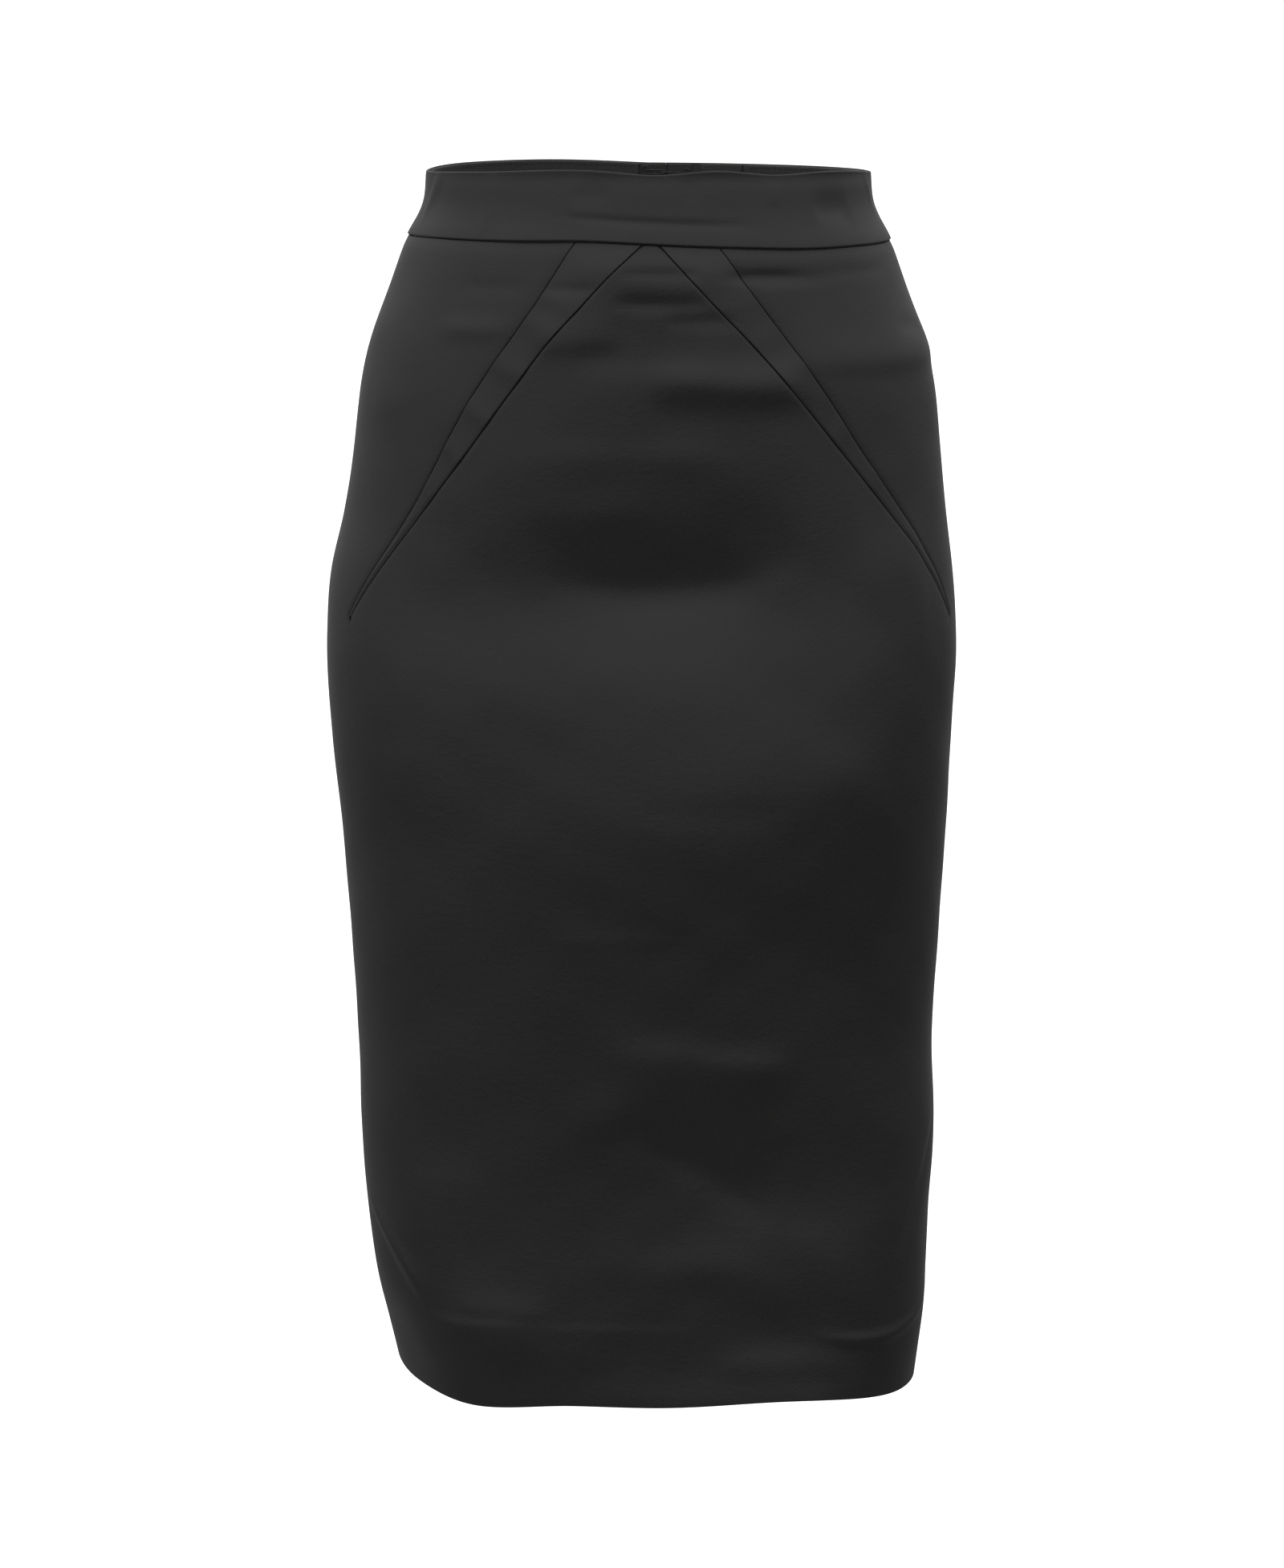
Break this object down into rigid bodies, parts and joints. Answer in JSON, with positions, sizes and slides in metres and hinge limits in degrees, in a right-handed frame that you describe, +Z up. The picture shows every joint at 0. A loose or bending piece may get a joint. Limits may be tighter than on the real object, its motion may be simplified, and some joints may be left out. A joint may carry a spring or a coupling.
{
  "type": "pencil skirt",
  "caption": "Knee-length pencil skirt in black stretch satin, with a shaped waistband, tapered bands slanting from waist to hips, a centre-back zip and a walking vent.",
  "frame": {"origin": "centre of the waistband, half way down its depth", "axes": "+Z up towards the waistband, -Y the front of the skirt, +X to the right as seen from the front"},
  "size_m": [0.3364, 0.2386, 0.6543],
  "materials": {
    "black_satin": "matte-backed black stretch satin with a soft sheen",
    "inset_satin": "the same satin cut on the slant, a little brighter",
    "waistband_satin": "stiffened double satin",
    "ribbed_ribbon": "black ribbon with fine upright ribs",
    "facing_twill": "black twill",
    "zip_tape": "black herringbone tape",
    "painted_metal": "black lacquer",
    "enamelled_wire": "wire with black enamel, a little worn"
  },
  "bodies": {
    "skirt": {"front_panel": "black_satin", "back_left": "black_satin", "back_right": "black_satin", "inset_left": "inset_satin", "inset_right": "inset_satin", "waistband_front": "waistband_satin", "waistband_back_left": "waistband_satin", "waistband_back_right": "waistband_satin", "waist_ribbon": "ribbed_ribbon", "end_facing": "facing_twill", "zip_tape_left": "zip_tape", "zip_tape_right": "zip_tape", "zip_slider": "painted_metal", "waist_hook": "enamelled_wire", "waist_eye": "enamelled_wire"},
    "pull": {"zip_pull": "painted_metal"}
  },
  "joints": [
    {"name": "zip_pull_hinge", "type": "hinge", "parent": "skirt", "child": "pull", "pos_m": [0.01306, 0.09695, 0.00585], "axis": [0.9988, -0.0397, -0.0303], "range_deg": [0, 170]}
  ]
}
